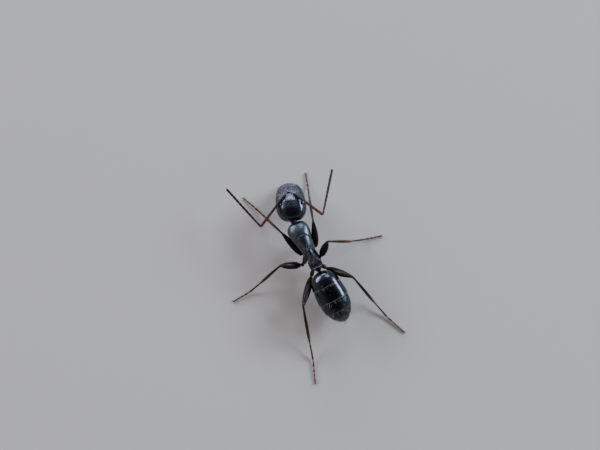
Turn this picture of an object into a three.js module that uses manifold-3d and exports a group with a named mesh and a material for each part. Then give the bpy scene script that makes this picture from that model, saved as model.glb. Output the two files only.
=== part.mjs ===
// A carpenter ant worker, life size, standing still on a floor.
// Millimetres. +Z is up, +Y is ahead along the trunk, +X is the ant's right. The floor is z = 0.
// Every plate of the body and every joint of a limb is a solid of its own, parted from its
// neighbours by a thin cut. Limbs are drawn no thinner than LIMB_THICKNESS, so they can be made.
import * as THREE from "three";
import { mergeVertices } from "three/addons/utils/BufferGeometryUtils.js";
import Module from "manifold-3d";

const wasm = await Module();
wasm.setup();

// ---- Driving dimensions ----

const CUT = 0.03; // the gap between neighbouring solids
const SLIVER = 0.008; // corners nearer than this are one corner
const LIMB_THICKNESS = 0.48; // the thinnest part of a leg or feeler
const STANCE_CENTRE = new THREE.Vector3(-0.66, -1.83, 0); // middle of the footprint, from the trunk

// Stations of a body plate are [distance ahead, half width, top, bottom] and, where the body
// bends, its place aside. The fore end of the trunk leans a little to the left.
const TRUNK = [
  [-1.54, 0, 1.3, 1.3, 0],
  [-1.53, 0.2, 1.5, 1.15, 0],
  [-1.42, 0.33, 1.72, 1.04, 0],
  [-1.2, 0.41, 1.92, 1.0, 0],
  [-0.8, 0.47, 2.07, 0.96, -0.01],
  [-0.3, 0.55, 2.18, 0.92, -0.04],
  [0.2, 0.67, 2.24, 0.92, -0.08],
  [0.7, 0.78, 2.2, 0.98, -0.1],
  [1.1, 0.78, 2.07, 1.1, -0.1],
  [1.42, 0.6, 1.89, 1.25, -0.1],
  [1.57, 0.34, 1.74, 1.38, -0.1],
  [1.6, 0, 1.57, 1.57, -0.1],
];
const MESONOTUM = { front: 0.63, radius: 0.75, shoulder: 0.2 }; // its arched front edge
const PROPODEUM = { front: -0.62, lean: 18 }; // degrees that its front seam leans back

const HEAD = {
  neck: new THREE.Vector3(-0.15, 1.7, 1.7), // where it hinges, from the trunk's frame
  yaw: -17,
  pitch: -22,
  stations: [
    [0.02, 0, 0.05, 0.05],
    [0.04, 0.36, 0.32, -0.2],
    [0.14, 0.64, 0.52, -0.4],
    [0.4, 0.88, 0.69, -0.57],
    [0.8, 1.04, 0.79, -0.69],
    [1.25, 1.09, 0.78, -0.72],
    [1.7, 1.05, 0.68, -0.68],
    [2.1, 0.97, 0.52, -0.56],
    [2.42, 0.87, 0.36, -0.42],
    [2.66, 0.62, 0.2, -0.24],
    [2.74, 0, 0.0, 0.0],
  ],
};
const EYE = { along: 1.17, side: 0.86, height: 0.42, length: 0.56, width: 0.44, bulge: 0.2, lean: 50 };
const CLYPEUS = { width: 0.86, rear: 1.85, floor: 0.02 }; // the shield between feelers and jaws
const MANDIBLE = { length: 0.98, width: 0.56, thickness: 0.44, hinge: [0.58, 2.36, -0.2] };
const MOUTHPARTS = { width: 0.56, length: 0.8, height: 0.36, at: [0, 2.2, -0.5] };
const NECK = { radius: 0.27, length: 0.55 };

const PETIOLE = {
  ahead: -1.91,
  aside: 0.02,
  width: 0.72,
  length: 0.42,
  bottom: 0.92,
  top: 1.86,
  stalk: 0.48,
  reach: 0.68,
};
const GASTER = {
  front: new THREE.Vector3(-0.01, -2.26, 1.38),
  yaw: 3,
  pitch: -5,
  stations: [
    [-3.95, 0, 0.0, 0.0],
    [-3.91, 0.18, 0.14, -0.16],
    [-3.68, 0.5, 0.4, -0.4],
    [-3.2, 0.85, 0.68, -0.6],
    [-2.6, 1.06, 0.83, -0.76],
    [-1.9, 1.12, 0.89, -0.85],
    [-1.2, 1.08, 0.87, -0.84],
    [-0.65, 0.97, 0.75, -0.73],
    [-0.25, 0.7, 0.5, -0.48],
    [-0.05, 0.34, 0.22, -0.24],
    [0, 0, 0.0, 0.0],
  ],
  seams: [-1.08, -2.2, -3.0, -3.52], // rear edges of the first four rings
};

const SCAPE = { radius: LIMB_THICKNESS / 2 };
const FUNICULUS = { radius: LIMB_THICKNESS / 2, joints: 11 };
const FEELERS = {
  left: { root: [-0.34, 1.78, 0.68], elbow: [-2.35, 2.31, 2.35], tip: [-3.43, 5.73, 1.3] },
  right: { root: [0.34, 1.78, 0.68], elbow: [1.9, 1.25, 2.85], tip: [3.86, 3.85, 1.1] },
};

// Each leg is drawn through its joints. The ball, where the first foot joint ends, and the
// claws lie on the floor.
const LEGS = {
  front_left: {
    hip: [-0.42, 0.72, 1.2],
    trochanter: [-0.52, -0.5, 0.62],
    thigh: [-0.62, -0.72, 0.56],
    knee: [-1.2, 1.24, 1.47],
    heel: [-1.83, 2.78, 0.4],
    ball: [-2.2, 3.7],
    claws: [-2.62, 4.64],
  },
  front_right: {
    hip: [0.3, 0.72, 1.2],
    trochanter: [0.46, -0.4, 0.68],
    thigh: [0.57, -0.6, 0.62],
    knee: [1.1, 1.1, 1.95],
    heel: [1.53, 2.58, 0.66],
    ball: [1.79, 3.4],
    claws: [2.06, 4.35],
  },
  middle_left: {
    hip: [-0.28, -0.78, 1.0],
    trochanter: [-0.72, -1.33, 0.66],
    thigh: [-0.96, -1.33, 0.62],
    knee: [-2.29, -0.72, 1.9],
    heel: [-3.9, -1.21, 0.47],
    ball: [-5.05, -1.52],
    claws: [-6.34, -1.63],
  },
  middle_right: {
    hip: [0.2, -0.78, 1.0],
    trochanter: [0.37, -1.35, 0.7],
    thigh: [0.6, -1.33, 0.72],
    knee: [1.42, -0.58, 2.38],
    heel: [2.83, -1.25, 0.82],
    ball: [3.79, -1.55],
    claws: [5.02, -1.84],
  },
  hind_left: {
    hip: [-0.2, -1.3, 0.96],
    trochanter: [-0.34, -1.98, 0.68],
    thigh: [-0.64, -2.34, 0.56],
    knee: [-2.02, -3.95, 1.95],
    heel: [-2.64, -6.25, 0.55],
    ball: [-3.02, -7.75],
    claws: [-3.56, -9.28],
  },
  hind_right: {
    hip: [0.2, -1.3, 0.96],
    trochanter: [0.34, -1.9, 0.68],
    thigh: [0.56, -2.26, 0.52],
    knee: [1.98, -3.58, 2.08],
    heel: [2.55, -5.67, 0.4],
    ball: [2.98, -7.18],
    claws: [3.64, -8.68],
  },
};
const COXA_RADII = { front: 0.33, middle: 0.26, hind: 0.26 };
const FEMUR_RADIUS = 0.28;
const CLAW_REACH = 0.14; // how far the claws stand past the last foot joint
const FOOT_HEIGHT = 0.2; // of the axis of a foot that lies on the floor

// ---- Colours ----

const finish = (colour, roughness) =>
  new THREE.MeshStandardMaterial({ color: colour, roughness, metalness: 0 });
const BLACK = finish(0x15151a, 0.35);
const GLOSSY = finish(0x0c0c10, 0.2);
const EYE_BLACK = finish(0x1a1614, 0.3);
const DARK_BROWN = finish(0x2a1712, 0.35);
const RED_BROWN = finish(0x5a2616, 0.4);

// ---- Making and cutting solids ----

// The geometry with only its places, its shared corners merged, as a manifold-3d solid.
function solidOf(geometry, matrix) {
  const plain = new THREE.BufferGeometry();
  plain.setAttribute("position", geometry.getAttribute("position").clone());
  if (geometry.index) plain.setIndex(geometry.index.clone());
  plain.applyMatrix4(matrix);
  const merged = mergeVertices(plain, 1e-4);
  return new wasm.Manifold(
    new wasm.Mesh({
      numProp: 3,
      vertProperties: merged.attributes.position.array,
      triVerts: new Uint32Array(merged.index.array),
    }),
  );
}

// True if each edge of each triangle is met once, the other way round, by a neighbour's.
function isClosed(faces) {
  const edges = new Set();
  for (const [a, b, c] of faces) {
    for (const [from, to] of [[a, b], [b, c], [c, a]]) {
      const edge = `${from} ${to}`;
      if (edges.has(edge)) return false;
      edges.add(edge);
    }
  }
  return [...edges].every((edge) => edges.has(edge.split(" ").reverse().join(" ")));
}

// Joins corners that stand within a sliver of each other, and drops the triangles this flattens.
// The second joining, half a step aside, finds the pairs that the first one's grid parts.
function tidied(geometry, sliver = SLIVER) {
  const half = sliver / 2;
  const once = mergeVertices(geometry.clone(), sliver).translate(half, half, half);
  const merged = mergeVertices(once, sliver).translate(-half, -half, -half);
  const index = merged.index.array;
  const faces = new Map();
  for (let i = 0; i < index.length; i += 3) {
    const face = [index[i], index[i + 1], index[i + 2]];
    if (new Set(face).size < 3) continue;
    const key = [...face].sort((a, b) => a - b).join();
    if (faces.has(key)) faces.delete(key);
    else faces.set(key, face);
  }
  if (!isClosed(faces.values()) && sliver > SLIVER / 8) return tidied(geometry, sliver / 2);
  merged.setIndex([...faces.values()].flat());
  return merged;
}

function geometryOf(solid, matrix) {
  const mesh = solid.getMesh();
  const made = new THREE.BufferGeometry();
  made.setAttribute("position", new THREE.BufferAttribute(new Float32Array(mesh.vertProperties), 3));
  made.setIndex(new THREE.BufferAttribute(new Uint32Array(mesh.triVerts), 1));
  made.applyMatrix4(matrix);
  return tidied(made);
}

// The same shape with its surface moved out by a distance, for cutting a neighbour clear of it.
function grown(geometry, distance) {
  const plain = new THREE.BufferGeometry();
  plain.setAttribute("position", geometry.getAttribute("position").clone());
  if (geometry.index) plain.setIndex(geometry.index.clone());
  const fat = mergeVertices(plain, 1e-4);
  fat.computeVertexNormals();
  const place = fat.attributes.position;
  const normal = fat.attributes.normal;
  for (let i = 0; i < place.count; i++) {
    place.setXYZ(
      i,
      place.getX(i) + normal.getX(i) * distance,
      place.getY(i) + normal.getY(i) * distance,
      place.getZ(i) + normal.getZ(i) * distance,
    );
  }
  return fat;
}

const largest = (solid) =>
  solid.decompose().reduce((best, body) => (body.volume() > best.volume() ? body : best));

// Cuts a mesh clear of its neighbours, in the frame of the whole ant, and keeps its main body.
function clear(mesh, ...neighbours) {
  mesh.updateWorldMatrix(true, false);
  let solid = solidOf(mesh.geometry, mesh.matrixWorld);
  for (const other of neighbours) {
    other.updateWorldMatrix(true, false);
    solid = solid.subtract(solidOf(grown(other.geometry, CUT), other.matrixWorld));
  }
  mesh.geometry = geometryOf(largest(solid), mesh.matrixWorld.clone().invert());
}

// Keeps what of a mesh lies inside a tool, which stands in the mesh's own frame.
function keepInside(geometry, tool) {
  const still = new THREE.Matrix4();
  const kept = solidOf(geometry, still).intersect(solidOf(tool, still));
  return geometryOf(largest(kept), still);
}

function takeAway(geometry, tool) {
  const still = new THREE.Matrix4();
  const kept = solidOf(geometry, still).subtract(solidOf(tool, still));
  return geometryOf(largest(kept), still);
}

function joined(first, second) {
  const still = new THREE.Matrix4();
  return geometryOf(solidOf(first, still).add(solidOf(second, still)), still);
}

// ---- Shapes ----

// A closed plate of the body along +Y: turned from its outline seen from above, then given the
// top and bottom of its outline seen from the side, and bent aside.
function bodyShape(stations, rings, sides) {
  const outline = (column) =>
    new THREE.CatmullRomCurve3(
      stations.map((s) => new THREE.Vector3(s[1], s[0], s[column])),
      false,
      "catmullrom",
      0.5,
    );
  const upper = outline(2);
  const lower = outline(3);
  const bend = stations[0].length > 4 ? outline(4) : null;
  const last = stations.length - 1;
  const at = (curve, ring) => curve.getPoint(ring / rings);
  const profile = [];
  for (let ring = 0; ring <= rings; ring++) {
    const p = at(upper, ring);
    const end = ring === 0 || ring === rings;
    profile.push(new THREE.Vector2(end ? 0 : Math.max(p.x, 1e-3), p.y));
  }
  profile[0].y = stations[0][0];
  profile[rings].y = stations[last][0];
  const made = new THREE.LatheGeometry(profile, sides);
  const place = made.attributes.position;
  for (let i = 0; i < place.count; i++) {
    const ring = i % (rings + 1);
    const x = place.getX(i);
    const z = place.getZ(i);
    const turn = Math.hypot(x, z) < 1e-6 ? 0 : Math.atan2(z, x);
    const top = at(upper, ring).z;
    const bottom = at(lower, ring).z;
    const middle = (top + bottom) / 2;
    place.setZ(i, middle + (Math.sin(turn) * (top - bottom)) / 2);
    if (bend) place.setX(i, x + at(bend, ring).z);
  }
  return made;
}

// A limb along +Y from 0 to length: [share of the length, radius] stations with round ends.
function limbShape(length, stations, sides) {
  const round = 2; // steps in each rounded end
  const first = stations[0][1];
  const last = stations[stations.length - 1][1];
  const profile = [];
  for (let i = 0; i <= round; i++) {
    const turn = (i / round) * (Math.PI / 2);
    profile.push(new THREE.Vector2(Math.sin(turn) * first, first * 0.6 * (1 - Math.cos(turn))));
  }
  for (const [share, radius] of stations.slice(1, -1)) {
    profile.push(new THREE.Vector2(radius, share * length));
  }
  for (let i = round; i >= 0; i--) {
    const turn = (i / round) * (Math.PI / 2);
    profile.push(new THREE.Vector2(Math.sin(turn) * last, length - last * 0.6 * (1 - Math.cos(turn))));
  }
  return new THREE.LatheGeometry(profile, sides);
}

const root = new THREE.Group();
const ant = new THREE.Group();
ant.position.copy(STANCE_CENTRE).negate();
root.add(ant);

function piece(name, geometry, material, parent = ant) {
  const mesh = new THREE.Mesh(geometry, material);
  mesh.name = name;
  parent.add(mesh);
  return mesh;
}

// Stands an object at one point with its +Y towards another.
function aim(object, from, to) {
  const way = new THREE.Vector3().subVectors(to, from).normalize();
  object.position.copy(from);
  object.quaternion.setFromUnitVectors(new THREE.Vector3(0, 1, 0), way);
  return object;
}

const turned = (yaw, pitch) =>
  new THREE.Quaternion().setFromEuler(
    new THREE.Euler(THREE.MathUtils.degToRad(pitch), 0, THREE.MathUtils.degToRad(yaw), "ZXY"),
  );

const block = (wide, deep, high, x, y, z) =>
  new THREE.BoxGeometry(wide, deep, high).translate(x, y, z);

// ---- Trunk: pronotum, mesonotum and propodeum ----

const REACH = 12; // half of a cutting block, larger than any plate
const trunkShape = bodyShape(TRUNK, 16, 16);

// The mesonotum's arched front edge, as an upright round post joined to all that lies behind it.
function behindArch(growth) {
  const post = new THREE.CylinderGeometry(
    MESONOTUM.radius + growth,
    MESONOTUM.radius + growth,
    REACH,
    20,
  );
  post.rotateX(Math.PI / 2);
  post.translate(0, MESONOTUM.front - MESONOTUM.radius, 0);
  const rear = block(
    REACH,
    REACH,
    REACH,
    0,
    MESONOTUM.shoulder + growth - REACH / 2,
    0,
  );
  return joined(post, rear);
}

function behindPropodeumSeam(growth) {
  const rear = block(REACH, REACH, REACH, 0, -REACH / 2 + growth, 0);
  rear.rotateX(THREE.MathUtils.degToRad(PROPODEUM.lean));
  rear.translate(0, PROPODEUM.front, 1.5);
  return rear;
}

const pronotum = piece("pronotum", takeAway(trunkShape, behindArch(CUT)), BLACK);
const middleOfTrunk = takeAway(keepInside(trunkShape, behindArch(0)), behindPropodeumSeam(CUT));
const mesonotum = piece("mesonotum", middleOfTrunk, BLACK);
const propodeum = piece("propodeum", keepInside(trunkShape, behindPropodeumSeam(0)), BLACK);
const trunk = [pronotum, mesonotum, propodeum];

// ---- Head, with its eyes, jaws and neck ----

const headFrame = new THREE.Group();
headFrame.position.copy(HEAD.neck);
headFrame.quaternion.copy(turned(HEAD.yaw, HEAD.pitch));
ant.add(headFrame);
const headShape = bodyShape(HEAD.stations, 13, 18);
const clypeusBlock = (growth) =>
  block(
    CLYPEUS.width + growth * 2,
    REACH,
    REACH,
    0,
    CLYPEUS.rear - growth + REACH / 2,
    CLYPEUS.floor - growth + REACH / 2,
  );
const head = piece("head", takeAway(headShape, clypeusBlock(CUT)), BLACK, headFrame);
const clypeus = piece("clypeus", keepInside(headShape, clypeusBlock(0)), BLACK, headFrame);

const mouthparts = piece("mouthparts", new THREE.SphereGeometry(1, 10, 8), DARK_BROWN, headFrame);
mouthparts.geometry.scale(
  MOUTHPARTS.width / 2,
  MOUTHPARTS.length / 2,
  MOUTHPARTS.height / 2,
);
mouthparts.position.set(...MOUTHPARTS.at);

const eyes = [-1, 1].map((side) => {
  const ball = new THREE.SphereGeometry(1, 9, 7);
  ball.scale(EYE.width / 2, EYE.length / 2, EYE.bulge);
  const eye = piece(side < 0 ? "eye_left" : "eye_right", ball, EYE_BLACK, headFrame);
  eye.position.set(side * EYE.side, EYE.along, EYE.height);
  eye.rotation.y = side * THREE.MathUtils.degToRad(EYE.lean);
  return eye;
});

// A jaw is a curved triangle: a hinge, an outer edge that bends inwards, and a toothed inner
// edge. It is thickest in the middle and thins towards its edges.
function mandibleShape(side) {
  const { length, width, thickness } = MANDIBLE;
  const outline = new THREE.Shape();
  outline.moveTo(side * width * 0.5, -0.12);
  outline.quadraticCurveTo(side * width * 0.8, length * 0.7, side * -width * 0.9, length * 0.9);
  const teeth = 4;
  for (let i = 1; i <= teeth; i++) {
    const x = -width * 0.9;
    const y = THREE.MathUtils.lerp(length * 0.9, length * 0.3, i / teeth);
    outline.lineTo(side * (x + 0.06), y + 0.08);
    outline.lineTo(side * x, y);
  }
  outline.lineTo(side * -width * 0.45, -0.12);
  const plate = new THREE.ExtrudeGeometry(outline, {
    depth: thickness,
    bevelEnabled: false,
    curveSegments: 6,
  });
  plate.translate(0, 0, -thickness / 2);
  const lens = new THREE.SphereGeometry(1, 12, 6);
  lens.scale(width * 1.7, length * 1.1, thickness / 2);
  lens.translate(side * -width * 0.1, length * 0.05, 0);
  return keepInside(plate, lens);
}

const mandibles = [-1, 1].map((side) => {
  const name = side < 0 ? "mandible_left" : "mandible_right";
  const jaw = piece(name, mandibleShape(side), DARK_BROWN, headFrame);
  jaw.position.set(side * MANDIBLE.hinge[0], MANDIBLE.hinge[1], MANDIBLE.hinge[2]);
  jaw.rotation.x = THREE.MathUtils.degToRad(-14);
  return jaw;
});

const neck = piece(
  "neck",
  limbShape(NECK.length, [[0, NECK.radius], [1, NECK.radius]], 12),
  DARK_BROWN,
);
aim(neck, new THREE.Vector3(-0.1, 1.38, 1.54), new THREE.Vector3(-0.14, 1.93, 1.65));

// ---- Petiole and gaster ----

const petiole = piece("petiole", new THREE.SphereGeometry(1, 12, 8), BLACK);
{
  const high = PETIOLE.top - PETIOLE.bottom;
  petiole.geometry.scale(PETIOLE.width / 2, PETIOLE.length / 2, high / 2);
  const stalk = new THREE.CylinderGeometry(PETIOLE.stalk / 2, PETIOLE.stalk / 2, PETIOLE.reach, 10);
  stalk.translate(0, 0, -high * 0.17);
  petiole.geometry = joined(petiole.geometry, stalk);
  petiole.position.set(PETIOLE.aside, PETIOLE.ahead, (PETIOLE.top + PETIOLE.bottom) / 2);
}

const gasterFrame = new THREE.Group();
gasterFrame.position.copy(GASTER.front);
gasterFrame.quaternion.copy(turned(GASTER.yaw, -GASTER.pitch));
ant.add(gasterFrame);
const gasterShape = bodyShape(GASTER.stations, 18, 20);
const seams = [...GASTER.seams, -REACH];
const gaster = seams.map((rear, i) => {
  const front = i === 0 ? REACH : seams[i - 1] - CUT;
  const slab = block(REACH, front - rear, REACH, 0, (front + rear) / 2, 0);
  return piece(`gaster_ring_${i + 1}`, keepInside(gasterShape, slab), GLOSSY, gasterFrame);
});

// ---- Feelers ----

const feelers = {};
for (const [side, joints] of Object.entries(FEELERS)) {
  headFrame.updateWorldMatrix(true, false);
  const rootPoint = ant.worldToLocal(headFrame.localToWorld(new THREE.Vector3(...joints.root)));
  const elbow = new THREE.Vector3(...joints.elbow);
  const tip = new THREE.Vector3(...joints.tip);
  const r = SCAPE.radius;
  const scape = piece(
    `antenna_${side}_scape`,
    limbShape(rootPoint.distanceTo(elbow) + r / 2, [[0, r], [1, r * 1.04]], 8),
    RED_BROWN,
  );
  aim(scape, rootPoint, elbow);
  const beads = [[0, FUNICULUS.radius * 0.96]];
  for (let i = 1; i < FUNICULUS.joints; i++) {
    beads.push([i / FUNICULUS.joints, FUNICULUS.radius * (i % 2 ? 1.04 : 0.94)]);
  }
  beads.push([1, FUNICULUS.radius * 0.85]);
  const whip = piece(
    `antenna_${side}_funiculus`,
    limbShape(elbow.distanceTo(tip), beads, 6),
    RED_BROWN,
  );
  aim(whip, elbow, tip);
  feelers[side] = { scape, whip };
}

// ---- Legs ----

// A foot joint lies on the floor: what would sink below it is cut off flat.
const floor = block(60, 60, 2, 0, 0, -1);

const legs = Object.entries(LEGS).map(([name, joints]) => {
  const place = (joint) => new THREE.Vector3(joint[0], joint[1], joint[2] ?? FOOT_HEIGHT);
  const [hip, trochanter] = [joints.hip, joints.trochanter].map(place);
  const [thigh, knee] = [joints.thigh, joints.knee].map(place);
  const [heel, ball, claws] = [joints.heel, joints.ball, joints.claws].map(place);
  const thin = LIMB_THICKNESS / 2;
  const pair = name.split("_")[0];
  const wide = COXA_RADII[pair];

  const still = new THREE.Matrix4();
  const along = (from, to, stations, sides) => {
    const holder = aim(new THREE.Object3D(), from, to);
    holder.updateMatrix();
    return solidOf(limbShape(from.distanceTo(to), stations, sides), holder.matrix);
  };

  const coxa = piece(
    `leg_${name}_coxa`,
    limbShape(hip.distanceTo(trochanter), [[0, wide * 0.7], [0.3, wide], [1, 0.22]], 8),
    BLACK,
  );
  aim(coxa, hip, trochanter);

  // the trochanter is a short joint of its own, grown fast to the femur
  const lead = new THREE.Vector3().subVectors(knee, thigh).setLength(thin).negate().add(thigh);
  const stump = along(trochanter, thigh, [[0, thin * 0.9], [1, thin * 0.9]], 6);
  const spindle = along(
    lead,
    knee.clone().lerp(thigh, -0.05),
    [
      [0, thin * 0.9],
      [0.2, FEMUR_RADIUS * 0.94],
      [0.4, FEMUR_RADIUS],
      [0.66, FEMUR_RADIUS * 0.97],
      [1, thin],
    ],
    7,
  );
  const femur = piece(`leg_${name}_femur`, geometryOf(stump.add(spindle), still), DARK_BROWN);

  const tibia = piece(
    `leg_${name}_tibia`,
    limbShape(
      knee.distanceTo(heel) + thin / 2,
      [[0, thin * 0.96], [0.7, thin * 1.06], [1, thin]],
      8,
    ),
    DARK_BROWN,
  );
  aim(tibia, knee, heel);

  const lap = new THREE.Vector3().subVectors(ball, claws).setLength(thin).add(ball);
  const tip = new THREE.Vector3().subVectors(claws, ball).setLength(CLAW_REACH).add(claws);
  const stem = along(heel, ball, [[0, thin * 0.96], [1, thin]], 6);
  const beads = [[0, thin]];
  for (const share of [0.32, 0.55, 0.73]) beads.push([share, thin * 1.04]);
  beads.push([1, thin]);
  const toes = along(lap, tip, beads, 6);
  const foot = stem.add(toes).subtract(solidOf(floor, still));
  const tarsus = piece(`leg_${name}_tarsus`, geometryOf(foot, still), RED_BROWN);
  return { name, coxa, femur, tibia, tarsus };
});

// ---- Parting the neighbours ----

for (const eye of eyes) clear(head, eye);
clear(mouthparts, head);
clear(clypeus, feelers.left.scape, feelers.right.scape);
for (const { scape } of Object.values(feelers)) {
  clear(scape, ...eyes);
  clear(head, scape);
}
for (const jaw of mandibles) clear(jaw, head, clypeus, mouthparts);
clear(mandibles[0], mandibles[1]);
clear(head, neck);
for (const plate of trunk) clear(plate, neck);
clear(petiole, propodeum, gaster[0]);
for (const { scape, whip } of Object.values(feelers)) clear(whip, scape);
for (const { coxa, femur, tibia, tarsus } of legs) {
  clear(coxa, ...trunk, petiole, gaster[0]);
  clear(femur, ...trunk, coxa, ...gaster);
  clear(tibia, femur);
  clear(tarsus, tibia);
}

export default root;
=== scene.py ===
import functools
import math
import random

import bmesh
import bpy
from mathutils import Matrix, Vector


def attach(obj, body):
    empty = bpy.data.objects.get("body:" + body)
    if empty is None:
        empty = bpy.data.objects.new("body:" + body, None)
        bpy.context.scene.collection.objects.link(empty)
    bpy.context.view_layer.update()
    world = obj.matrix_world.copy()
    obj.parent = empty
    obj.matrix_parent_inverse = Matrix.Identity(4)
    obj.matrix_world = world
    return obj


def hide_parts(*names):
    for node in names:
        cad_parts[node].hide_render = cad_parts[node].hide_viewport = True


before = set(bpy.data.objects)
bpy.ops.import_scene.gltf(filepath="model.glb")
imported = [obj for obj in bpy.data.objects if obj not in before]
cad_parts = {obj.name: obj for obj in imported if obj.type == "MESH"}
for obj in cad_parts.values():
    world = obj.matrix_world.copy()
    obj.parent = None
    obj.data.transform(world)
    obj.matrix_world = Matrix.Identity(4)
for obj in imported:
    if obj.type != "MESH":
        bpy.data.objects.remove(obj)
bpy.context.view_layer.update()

# ---- Camera ----
# A macro lens straight above the ant, turned so that the head points up and a little left.
# It stands back as a long lens does, so the raised elbows are hardly larger than the feet.
MM = 0.001
TRUNK_AT = Vector((0.66, 1.83, 0))  # the middle of the trunk in the shared frame, mm
CAMERA_TURN = math.radians(25)
lens = bpy.data.cameras.new("macro_lens")
lens.sensor_width = 36
lens.lens = 119
lens.clip_start = 0.01
lens.clip_end = 10
camera = bpy.data.objects.new("camera", lens)
camera.location = (TRUNK_AT + Vector((0.168, 1.266, 140))) * MM
camera.rotation_euler = (0, 0, -CAMERA_TURN)
bpy.context.scene.collection.objects.link(camera)
bpy.context.scene.camera = camera


# ---- Trunk ----
# Pronotum, mesonotum and propodeum: black plates of chitin round a dark skin that shows only in
# the seams. Each plate's edge is rolled inwards where it meets the next. The fore end leans a
# little to the left, as the ant turns its head.
@functools.lru_cache(maxsize=20000)
def eased(table, x):
    """The row of a table at x, on smooth curves that never overshoot."""
    if x <= table[0][0]:
        return table[0][1:]
    if x >= table[-1][0]:
        return table[-1][1:]
    i = 0
    while table[i + 1][0] < x:
        i += 1
    low, high = table[i], table[i + 1]
    span = high[0] - low[0]
    t = (x - low[0]) / span
    row = []
    for c in range(1, len(low)):
        step = (high[c] - low[c]) / span
        slopes = []
        for j in (i, i + 1):
            if j in (0, len(table) - 1):
                slopes.append(step)
                continue
            before = (table[j][c] - table[j - 1][c]) / (table[j][0] - table[j - 1][0])
            after = (table[j + 1][c] - table[j][c]) / (table[j + 1][0] - table[j][0])
            slopes.append(0 if before * after <= 0 else 2 * before * after / (before + after))
        row.append(
            (2 * t**3 - 3 * t**2 + 1) * low[c]
            + (t**3 - 2 * t**2 + t) * span * slopes[0]
            + (3 * t**2 - 2 * t**3) * high[c]
            + (t**3 - t**2) * span * slopes[1]
        )
    return tuple(row)


def ramp(x, low, high):
    """0 below low, 1 above high, smooth between."""
    t = min(max((x - low) / (high - low), 0), 1)
    return t * t * (3 - 2 * t)


def ridge(x, centre, width):
    """1 at the centre, falling smoothly to 0 a width away."""
    return math.exp(-(((x - centre) / width) ** 2) * 2)


def body_form():
    """An empty form whose points can say how thin, and so how warm in colour, the cuticle is,
    and how dull and coarse."""
    bm = bmesh.new()
    bm.verts.layers.float.new("thin")
    bm.verts.layers.float.new("dull")
    return bm


def wrapped(bm, segments, rings, place, thin=0.0, dull=0.0):
    """A closed skin: a globe whose points are moved to place(along, turn), pole to pole. thin
    and dull are numbers, or functions of along and turn."""
    globe = bmesh.ops.create_uvsphere(bm, u_segments=segments, v_segments=rings, radius=1)
    layers = [(bm.verts.layers.float["thin"], thin), (bm.verts.layers.float["dull"], dull)]
    for v in globe["verts"]:
        along = math.acos(min(max(v.co.z, -1), 1)) / math.pi
        turn = math.atan2(v.co.y, v.co.x)
        v.co = place(along, turn)
        for layer, value in layers:
            v[layer] = value(along, turn) if callable(value) else value


def finished(name, bm, material, nodes, at=Matrix.Translation(TRUNK_AT)):
    """Makes the piece from millimetres in the ant's frame, and hangs it in the model."""
    bmesh.ops.recalc_face_normals(bm, faces=bm.faces)
    bmesh.ops.transform(bm, matrix=Matrix.Scale(MM, 4) @ at, verts=bm.verts)
    for face in bm.faces:
        face.smooth = True
    mesh = bpy.data.meshes.new(name)
    bm.to_mesh(mesh)
    bm.free()
    piece = bpy.data.objects.new(name, mesh)
    bpy.context.scene.collection.objects.link(piece)
    mesh.materials.append(material)
    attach(piece, "root")
    if nodes:
        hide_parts(*nodes)


def linear(colour):
    """An sRGB hex colour as the linear RGBA that the shader wants."""
    parts = [int(colour[i : i + 2], 16) / 255 for i in (1, 3, 5)]
    return [c / 12.92 if c <= 0.04045 else ((c + 0.055) / 1.055) ** 2.4 for c in parts] + [1]


def add(tree, kind, links=(), **settings):
    """Adds a shader node, sets its properties and inputs, and links what feeds it."""
    node = tree.nodes.new(kind)
    for key, value in settings.items():
        if hasattr(node, key):
            setattr(node, key, value)
        else:
            node.inputs[key.replace("_", " ")].default_value = value
    for socket, source in dict(links).items():
        tree.links.new(source, node.inputs[socket])
    return node


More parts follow.
